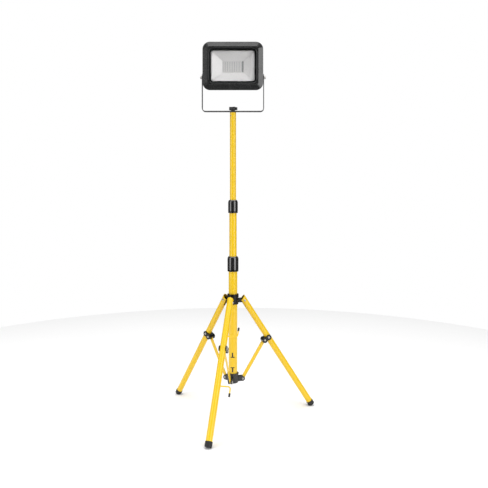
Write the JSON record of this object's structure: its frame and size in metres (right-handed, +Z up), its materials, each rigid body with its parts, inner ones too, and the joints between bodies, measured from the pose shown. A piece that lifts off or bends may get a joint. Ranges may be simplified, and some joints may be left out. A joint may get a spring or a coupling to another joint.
{
  "type": "tripod work light",
  "caption": "Floodlight on a telescopic mast with folding, braced tripod legs: twist collars lock the mast, and the lamp tilts in a yoke that swivels.",
  "frame": {"origin": "on the floor, on the mast's centre line, with the tripod spread", "axes": "+Z up along the mast, the lamp faces -Y, +X to the right of someone facing the lamp"},
  "size_m": [0.6025, 0.5956, 1.5105],
  "materials": {
    "yellow_paint": "gloss",
    "black_plastic": "satin",
    "dark_grey_plastic": "satin",
    "grey_plastic": "matte",
    "black_steel": "satin",
    "black_casting": "satin",
    "zinc_steel": "satin",
    "brass": "satin",
    "black_rubber": "matte",
    "clear_glass": "polished",
    "silver_reflector": "satin",
    "white_board": "satin",
    "led_phosphor": "satin"
  },
  "bodies": {
    "mast": {"lower_mast_tube": "yellow_paint", "lower_collar_seat": "black_plastic", "lower_hub": "grey_plastic", "lower_hub_rivets": "zinc_steel"},
    "hub": {"leg_hub": "black_plastic", "hub_knob_insert": "brass"},
    "hub_knob": {"hub_clamp_knob": "black_plastic", "hub_clamp_screw": "zinc_steel"},
    "front_brace": {"brace_front": "yellow_paint"},
    "left_brace": {"brace_left": "yellow_paint"},
    "right_brace": {"brace_right": "yellow_paint"},
    "front_leg": {"leg_tube_front": "yellow_paint", "leg_rivet_front": "zinc_steel", "saddle_front": "black_plastic", "saddle_bolt_front": "zinc_steel", "brace_rivet_front": "zinc_steel", "foot_cap_front": "black_rubber", "cable_hooks": "yellow_paint", "hook_tips": "black_rubber"},
    "left_leg": {"leg_tube_left": "yellow_paint", "leg_rivet_left": "zinc_steel", "saddle_left": "black_plastic", "saddle_bolt_left": "zinc_steel", "brace_rivet_left": "zinc_steel", "foot_cap_left": "black_rubber"},
    "right_leg": {"leg_tube_right": "yellow_paint", "leg_rivet_right": "zinc_steel", "saddle_right": "black_plastic", "saddle_bolt_right": "zinc_steel", "brace_rivet_right": "zinc_steel", "foot_cap_right": "black_rubber"},
    "lower_ring": {"lower_collar_ring": "black_plastic"},
    "middle": {"middle_mast_tube": "yellow_paint", "middle_guide_bush": "black_plastic", "upper_collar_seat": "black_plastic"},
    "upper_ring": {"upper_collar_ring": "black_plastic"},
    "top": {"top_mast_tube": "yellow_paint", "top_guide_bush": "black_plastic", "mast_plug": "black_plastic", "plug_rivet": "zinc_steel", "plug_insert": "brass"},
    "yoke": {"yoke": "black_steel"},
    "yoke_knob": {"yoke_knob": "dark_grey_plastic", "yoke_screw": "zinc_steel"},
    "lamp": {"lamp_bezel": "black_casting", "lamp_housing": "black_casting", "lamp_glass": "clear_glass", "glass_gasket": "black_rubber", "bezel_screws": "zinc_steel", "led_board": "white_board", "led_chips": "led_phosphor", "led_connector": "grey_plastic", "reflector": "silver_reflector", "driver_cover": "black_casting", "driver_screws": "zinc_steel", "led_driver": "grey_plastic", "cable_gland": "black_plastic", "tilt_bolts": "zinc_steel", "tilt_washers": "zinc_steel"}
  },
  "joints": [
    {"name": "tripod_fold", "type": "hinge", "parent": "mast", "child": "front_brace", "pos_m": [-0.00947, -0.03886, 0.141], "axis": [-0.9715, 0.2368, 0], "range_deg": [0, 32.49]},
    {"name": "left_brace_fold", "type": "hinge", "parent": "mast", "child": "left_brace", "pos_m": [-0.02892, 0.02763, 0.141], "axis": [0.6909, 0.723, 0], "range_deg": [0, 32.49]},
    {"name": "right_brace_fold", "type": "hinge", "parent": "mast", "child": "right_brace", "pos_m": [0.03839, 0.01123, 0.141], "axis": [0.2807, -0.9598, 0], "range_deg": [0, 32.49]},
    {"name": "front_leg_fold", "type": "hinge", "parent": "front_brace", "child": "front_leg", "pos_m": [-0.0316, -0.12962, 0.29259], "axis": [-0.9715, 0.2368, 0], "range_deg": [-62.59, 0]},
    {"name": "left_leg_fold", "type": "hinge", "parent": "left_brace", "child": "left_leg", "pos_m": [-0.09645, 0.09217, 0.29259], "axis": [0.6909, 0.723, 0], "range_deg": [-62.59, 0]},
    {"name": "right_leg_fold", "type": "hinge", "parent": "right_brace", "child": "right_leg", "pos_m": [0.12805, 0.03744, 0.29259], "axis": [0.2807, -0.9598, 0], "range_deg": [-62.59, 0]},
    {"name": "hub_slide", "type": "slide", "parent": "mast", "child": "hub", "axis": [0, 0, 1], "range_m": [0, 0.04683]},
    {"name": "hub_knob_turn", "type": "hinge", "parent": "hub", "child": "hub_knob", "pos_m": [0, 0.031, 0.466], "axis": [0, 1, 0], "range_deg": [0, 360]},
    {"name": "lower_ring_turn", "type": "hinge", "parent": "mast", "child": "lower_ring", "pos_m": [0, 0, 0.61], "axis": [0, 0, 1], "range_deg": [0, 90]},
    {"name": "middle_slide", "type": "slide", "parent": "mast", "child": "middle", "axis": [0, 0, 1], "range_m": [-0.1765, 0.15]},
    {"name": "upper_ring_turn", "type": "hinge", "parent": "middle", "child": "upper_ring", "pos_m": [0, 0, 0.845], "axis": [0, 0, 1], "range_deg": [0, 90]},
    {"name": "top_slide", "type": "slide", "parent": "middle", "child": "top", "axis": [0, 0, 1], "range_m": [-0.351, 0.03]},
    {"name": "yoke_swivel", "type": "hinge", "parent": "top", "child": "yoke", "pos_m": [0, 0, 1.233], "axis": [0, 0, 1], "continuous": true},
    {"name": "yoke_knob_turn", "type": "hinge", "parent": "top", "child": "yoke_knob", "pos_m": [0, 0, 1.245], "axis": [0, 0, 1], "range_deg": [0, 360]},
    {"name": "lamp_tilt", "type": "hinge", "parent": "yoke", "child": "lamp", "pos_m": [0, 0, 1.3725], "axis": [1, 0, 0], "range_deg": [-90, 90]}
  ],
  "couplings": [
    {"joint": "left_brace_fold", "follows": "tripod_fold", "ratio": 1},
    {"joint": "right_brace_fold", "follows": "tripod_fold", "ratio": 1},
    {"joint": "front_leg_fold", "follows": "tripod_fold", "ratio": -1.9264},
    {"joint": "left_leg_fold", "follows": "tripod_fold", "ratio": -1.9264},
    {"joint": "right_leg_fold", "follows": "tripod_fold", "ratio": -1.9264},
    {"joint": "hub_slide", "follows": "tripod_fold", "m_per_rad": 0.082579}
  ]
}
